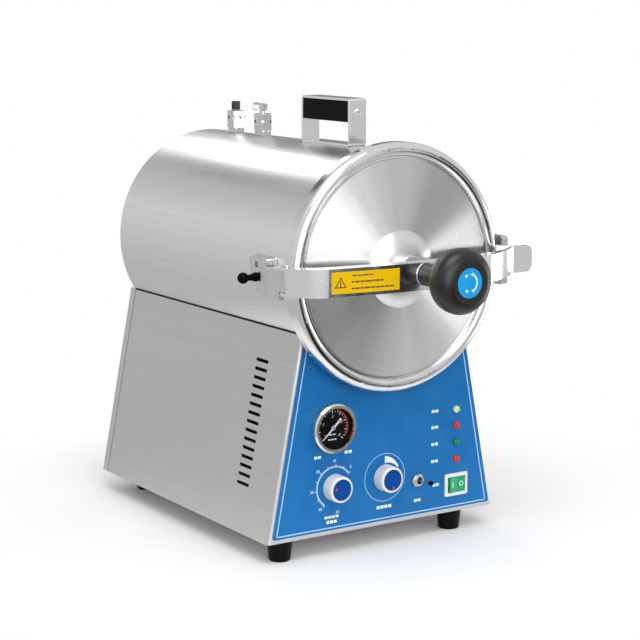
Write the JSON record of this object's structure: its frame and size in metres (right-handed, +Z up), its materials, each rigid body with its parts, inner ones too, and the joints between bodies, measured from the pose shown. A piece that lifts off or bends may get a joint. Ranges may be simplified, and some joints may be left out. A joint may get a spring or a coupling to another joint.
{
  "type": "benchtop autoclave",
  "caption": "Benchtop steam autoclave: drum chamber with a swing-out lid and handwheel, on a trapezoid cabinet with gauge, knobs and lamps.",
  "frame": {"origin": "on the table under the middle of the object's bounding box", "axes": "+Z up, -Y out of the lid and the control panel, +X to the right as seen from the front"},
  "size_m": [0.378, 0.612, 0.5435],
  "materials": {
    "drum_steel": "brushed along the drum",
    "cabinet_steel": "satin",
    "polished_steel": "polished, finely spun",
    "machined_steel": "machined",
    "chrome_plate": "bright plating",
    "blue_film": "printed film, semi-gloss",
    "black_rubber": "moulded",
    "gasket_rubber": "silicone",
    "black_plastic": "satin",
    "blue_badge": "gloss disc",
    "white_plastic": "moulded",
    "blue_cap": "gloss disc",
    "green_rocker": "translucent, lit",
    "clear_lens": "translucent",
    "green_lens": "translucent",
    "red_lens": "translucent",
    "gauge_window": "clear",
    "insulation": "fibre blanket",
    "brass": "machined",
    "red_lever": "dipped"
  },
  "bodies": {
    "cabinet": {"base_pan": "cabinet_steel", "side_panel_left": "cabinet_steel", "side_panel_right": "cabinet_steel", "front_panel": "cabinet_steel", "front_overlay": "blue_film", "rear_panel": "cabinet_steel", "feet": "black_rubber", "foot_screws": "machined_steel", "drum_casing": "drum_steel", "drum_rear_cover": "drum_steel", "chamber_vessel": "machined_steel", "chamber_flange": "polished_steel", "insulation_jacket": "insulation", "chamber_supports": "machined_steel", "heater_element": "machined_steel", "tray_rack": "machined_steel", "tray_lower": "machined_steel", "tray_upper": "machined_steel", "handle_frame": "polished_steel", "handle_grip": "black_plastic", "handle_screws": "machined_steel", "vent_valve_body": "machined_steel", "relief_valve_body": "machined_steel", "gauge_case": "chrome_plate", "gauge_glass": "gauge_window", "gauge_dial": "black_plastic", "timer_mechanism": "black_plastic", "thermostat_body": "black_plastic", "toggle_switch_body": "chrome_plate", "power_switch_frame": "white_plastic", "lamp_lens_clear": "clear_lens", "lamp_lens_green": "green_lens", "lamp_lenses_red": "red_lens", "lamp_holders": "black_plastic", "hinge_pin": "machined_steel", "hinge_bracket": "machined_steel", "latch_bracket": "machined_steel", "lock_plate": "machined_steel", "lock_housing": "machined_steel", "power_inlet": "black_plastic", "drain_cock_body": "brass"},
    "arm": {"lid_arm": "polished_steel"},
    "lid": {"lid": "polished_steel", "lid_gasket": "gasket_rubber", "lid_boss": "polished_steel"},
    "handwheel": {"handwheel": "black_plastic", "handwheel_badge": "blue_badge", "clamp_spindle": "machined_steel"},
    "vent_cap": {"vent_valve_cap": "machined_steel"},
    "relief_lever": {"relief_valve_lever": "machined_steel"},
    "needle": {"gauge_needle": "white_plastic"},
    "timer_knob": {"timer_knob": "white_plastic", "timer_knob_cap": "blue_cap"},
    "thermostat_knob": {"thermostat_knob": "white_plastic", "thermostat_knob_cap": "blue_cap"},
    "toggle": {"toggle_lever": "chrome_plate", "toggle_lever_tip": "black_plastic"},
    "rocker": {"power_switch_rocker": "green_rocker"},
    "plunger": {"lock_plunger": "black_plastic"},
    "drain_lever": {"drain_cock_lever": "red_lever"}
  },
  "joints": [
    {"name": "door_swing", "type": "hinge", "parent": "cabinet", "child": "arm", "pos_m": [-0.171, -0.171, 0.3445], "axis": [0, 0, -1], "range_deg": [0, 105]},
    {"name": "lid_travel", "type": "slide", "parent": "arm", "child": "lid", "axis": [0, -1, 0], "range_m": [0, 0.01]},
    {"name": "wheel_turn", "type": "hinge", "parent": "lid", "child": "handwheel", "pos_m": [-0.012, -0.27, 0.3465], "axis": [0, -1, 0], "range_deg": [0, 720]},
    {"name": "vent_cap_turn", "type": "hinge", "parent": "cabinet", "child": "vent_cap", "pos_m": [-0.012, 0.209, 0.5225], "axis": [0, 0, 1], "range_deg": [0, 270]},
    {"name": "relief_lever_lift", "type": "hinge", "parent": "cabinet", "child": "relief_lever", "pos_m": [-0.012, 0.138, 0.5212], "axis": [1, 0, 0], "range_deg": [0, 50], "stiffness_Nm_per_rad": 0.05, "springref_deg": -11.46},
    {"name": "needle_turn", "type": "hinge", "parent": "cabinet", "child": "needle", "pos_m": [-0.091, -0.148, 0.1585], "axis": [0, 1, 0], "range_deg": [0, 268], "stiffness_Nm_per_rad": 0.0002, "springref_deg": -11.46},
    {"name": "timer_turn", "type": "hinge", "parent": "cabinet", "child": "timer_knob", "pos_m": [-0.086, -0.15, 0.084], "axis": [0, 1, 0], "range_deg": [0, 300]},
    {"name": "thermostat_turn", "type": "hinge", "parent": "cabinet", "child": "thermostat_knob", "pos_m": [-0.012, -0.15, 0.0855], "axis": [0, 1, 0], "range_deg": [0, 270]},
    {"name": "toggle_flip", "type": "hinge", "parent": "cabinet", "child": "toggle", "pos_m": [0.036, -0.141, 0.0755], "axis": [0, 0, -1], "range_deg": [0, 20]},
    {"name": "rocker_rock", "type": "hinge", "parent": "cabinet", "child": "rocker", "pos_m": [0.0965, -0.136, 0.0615], "axis": [0, 0, -1], "range_deg": [0, 12]},
    {"name": "plunger_pull", "type": "slide", "parent": "cabinet", "child": "plunger", "axis": [-1, 0, 0], "range_m": [0, 0.007], "stiffness_N_per_m": 300, "springref_m": -0.002},
    {"name": "drain_lever_turn", "type": "hinge", "parent": "cabinet", "child": "drain_lever", "pos_m": [0.05, 0.3015, 0.0845], "axis": [0, 0, 1], "range_deg": [0, 90]}
  ],
  "couplings": [
    {"joint": "lid_travel", "follows": "wheel_turn", "m_per_rad": 0.00079577}
  ]
}
